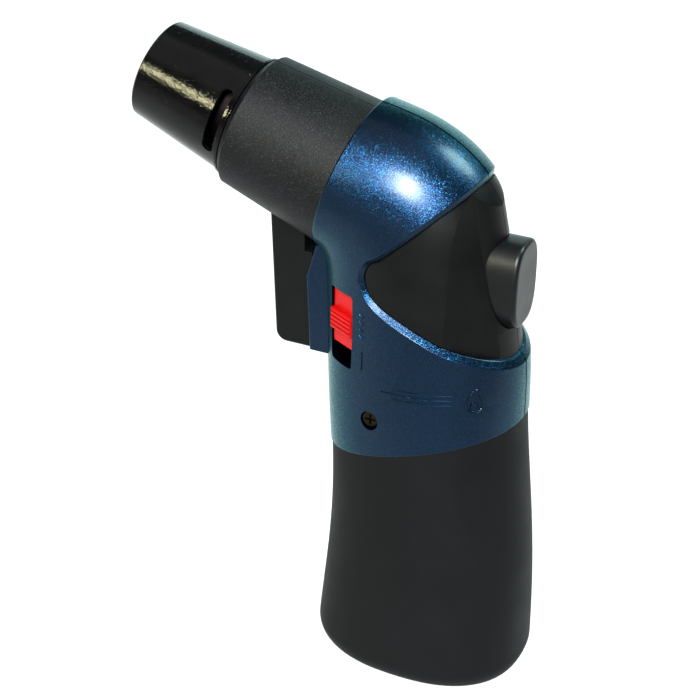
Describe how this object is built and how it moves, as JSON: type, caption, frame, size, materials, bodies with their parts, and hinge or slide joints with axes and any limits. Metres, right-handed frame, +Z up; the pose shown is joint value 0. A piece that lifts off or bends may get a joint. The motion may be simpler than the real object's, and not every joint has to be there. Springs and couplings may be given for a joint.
{
  "type": "butane torch",
  "caption": "Pocket butane torch with an upright oval tank handle, tilted barrel, flame nozzle, thumb ignition button, front trigger and sliding lock.",
  "frame": {"origin": "centre of the flat foot that the torch stands on, under the handle's widest point", "axes": "+Z up the handle, +X forwards to the flame end, +Y to the torch's left, the side with the sliding lock"},
  "size_m": [0.0947, 0.0388, 0.1398],
  "materials": {
    "grip": "soft matt black moulded tank",
    "black_plastic": "matt black moulding",
    "barrel_plastic": "matt dark grey moulding with a fine texture",
    "blue_paint": "satin pearl blue lacquer with fine flakes on a moulded shell",
    "red_plastic": "glossy red moulding",
    "chassis_plastic": "plain dark grey moulding",
    "piezo_plastic": "glossy off-white moulding",
    "black_chrome": "glossy black plated steel",
    "steel": "plain steel",
    "screw_steel": "dark oiled steel",
    "brass": "turned brass",
    "ceramic": "unglazed white ceramic",
    "seal": "black rubber",
    "hose": "dark soft hose",
    "lead": "red insulated lead"
  },
  "bodies": {
    "shell": {"tank_shell": "grip", "tank_floor": "grip", "fill_valve_body": "brass", "fill_valve_spring": "steel", "fill_valve_seal": "seal", "outlet_valve_body": "brass", "outlet_valve_seal": "seal", "valve_spring": "steel", "lever_pin": "steel", "trigger_spring": "steel", "chassis": "chassis_plastic", "chassis_screw": "screw_steel", "piezo_body": "piezo_plastic", "housing_left": "blue_paint", "housing_right": "blue_paint", "frame_left": "black_plastic", "frame_right": "black_plastic", "housing_screw": "screw_steel", "barrel_left": "barrel_plastic", "barrel_right": "barrel_plastic", "nozzle": "black_chrome", "burner_tube": "steel", "flame_holder": "ceramic", "burner_collar": "steel", "jet_holder": "brass", "gas_jet": "brass", "insulator": "ceramic", "electrode": "steel", "gas_hose": "hose", "ignition_lead": "lead"},
    "button": {"thumb_button": "black_plastic"},
    "plunger": {"piezo_plunger": "black_plastic"},
    "trigger": {"trigger": "black_plastic"},
    "crank": {"valve_lever": "black_plastic"},
    "stem": {"valve_stem": "brass"},
    "adjuster": {"flame_adjuster": "black_plastic"},
    "lock": {"lock_slider": "red_plastic"},
    "fill_stem": {"fill_valve_stem": "brass"}
  },
  "joints": [
    {"name": "thumb_button_slide", "type": "slide", "parent": "shell", "child": "button", "axis": [1, 0, 0], "range_m": [0, 0.0045], "stiffness_N_per_m": 1500, "springref_m": -0.002},
    {"name": "piezo_plunger_slide", "type": "slide", "parent": "shell", "child": "plunger", "axis": [1, 0, 0], "range_m": [0, 0.0045]},
    {"name": "trigger_slide", "type": "slide", "parent": "shell", "child": "trigger", "axis": [-1, 0, 0], "range_m": [0, 0.002], "stiffness_N_per_m": 800, "springref_m": -0.002, "deforming": ["trigger_spring"]},
    {"name": "valve_lever_hinge", "type": "hinge", "parent": "shell", "child": "crank", "pos_m": [-0.011, 0, 0.0715], "axis": [0, -1, 0], "range_deg": [0, 7.4]},
    {"name": "valve_stem_slide", "type": "slide", "parent": "shell", "child": "stem", "axis": [0, 0, 1], "range_m": [0, 0.001], "deforming": ["valve_spring"]},
    {"name": "flame_adjuster_hinge", "type": "hinge", "parent": "shell", "child": "adjuster", "pos_m": [-0.003, 0, 0.06765], "axis": [0, 0, 1], "range_deg": [-18, 18]},
    {"name": "lock_slide", "type": "slide", "parent": "shell", "child": "lock", "axis": [0, 0, -1], "range_m": [0, 0.0037]},
    {"name": "fill_stem_slide", "type": "slide", "parent": "shell", "child": "fill_stem", "axis": [0, 0, 1], "range_m": [0, 0.0012], "stiffness_N_per_m": 400, "springref_m": -0.001, "deforming": ["fill_valve_spring"]}
  ],
  "couplings": [
    {"joint": "piezo_plunger_slide", "follows": "thumb_button_slide", "ratio": 1},
    {"joint": "valve_lever_hinge", "follows": "trigger_slide", "rad_per_m": 64},
    {"joint": "valve_stem_slide", "follows": "trigger_slide", "ratio": 0.5}
  ]
}
